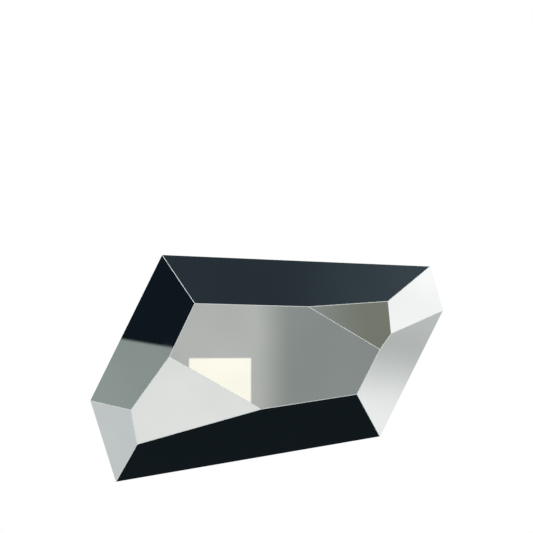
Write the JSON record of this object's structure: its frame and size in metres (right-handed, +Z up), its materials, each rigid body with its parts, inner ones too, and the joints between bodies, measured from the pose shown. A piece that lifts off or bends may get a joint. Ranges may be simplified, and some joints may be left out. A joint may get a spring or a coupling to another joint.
{
  "type": "faceted wall mirror",
  "caption": "Frameless faceted wall mirror: sloping mirror panes round a low crown, on a timber carcass that lifts off an aluminium wall cleat.",
  "frame": {"origin": "middle of the wall cleat's flat back, on the wall", "axes": "+X right as seen from the room, +Y into the wall, +Z up the wall; the panes face -Y"},
  "size_m": [1.499, 0.143, 0.965],
  "materials": {
    "silvered_glass": "polished silvered glass with ground edges",
    "adhesive_film": "off-white foam mounting film",
    "mdf": "raw medium-density fibreboard",
    "black_rail": "satin black paint on MDF",
    "plywood": "birch plywood with layered edges",
    "extruded_aluminium": "mill-finish extrusion",
    "zinc_steel": "zinc plated",
    "black_rubber": "matte moulded rubber"
  },
  "bodies": {
    "wall_cleat": {"wall_cleat": "extruded_aluminium"},
    "mirror": {"adhesive_bottom": "adhesive_film", "adhesive_centre": "adhesive_film", "adhesive_left_crown": "adhesive_film", "adhesive_lower_left": "adhesive_film", "adhesive_lower_right": "adhesive_film", "adhesive_right_crown": "adhesive_film", "adhesive_top": "adhesive_film", "adhesive_upper_left": "adhesive_film", "adhesive_upper_right": "adhesive_film", "batten_screw_1": "zinc_steel", "batten_screw_2": "zinc_steel", "batten_screw_3": "zinc_steel", "batten_screw_4": "zinc_steel", "board_bottom": "mdf", "board_centre": "mdf", "board_left_crown": "mdf", "board_lower_left": "mdf", "board_lower_right": "mdf", "board_right_crown": "mdf", "board_top": "mdf", "board_upper_left": "mdf", "board_upper_right": "mdf", "bumper_bottom_left": "black_rubber", "bumper_bottom_right": "black_rubber", "bumper_top_left": "black_rubber", "bumper_top_right": "black_rubber", "cleat_screw_1": "zinc_steel", "cleat_screw_2": "zinc_steel", "cleat_screw_3": "zinc_steel", "cleat_screw_4": "zinc_steel", "frame_cleat": "extruded_aluminium", "hanging_batten": "plywood", "left_lower_rib": "plywood", "left_upper_rib": "plywood", "long_rib": "plywood", "lower_batten": "plywood", "middle_lower_rib": "plywood", "middle_upper_rib": "plywood", "mirror_bottom": "silvered_glass", "mirror_centre": "silvered_glass", "mirror_left_crown": "silvered_glass", "mirror_lower_left": "silvered_glass", "mirror_lower_right": "silvered_glass", "mirror_right_crown": "silvered_glass", "mirror_top": "silvered_glass", "mirror_upper_left": "silvered_glass", "mirror_upper_right": "silvered_glass", "rail_bottom": "black_rail", "rail_lower_left": "black_rail", "rail_lower_right": "black_rail", "rail_top": "black_rail", "rail_upper_left": "black_rail", "rail_upper_right": "black_rail", "right_lower_rib": "plywood", "right_upper_rib": "plywood"}
  },
  "joints": [
    {"name": "lift_off", "type": "slide", "parent": "wall_cleat", "child": "mirror", "axis": [0, 0, 1], "range_m": [0, 0.016]}
  ]
}
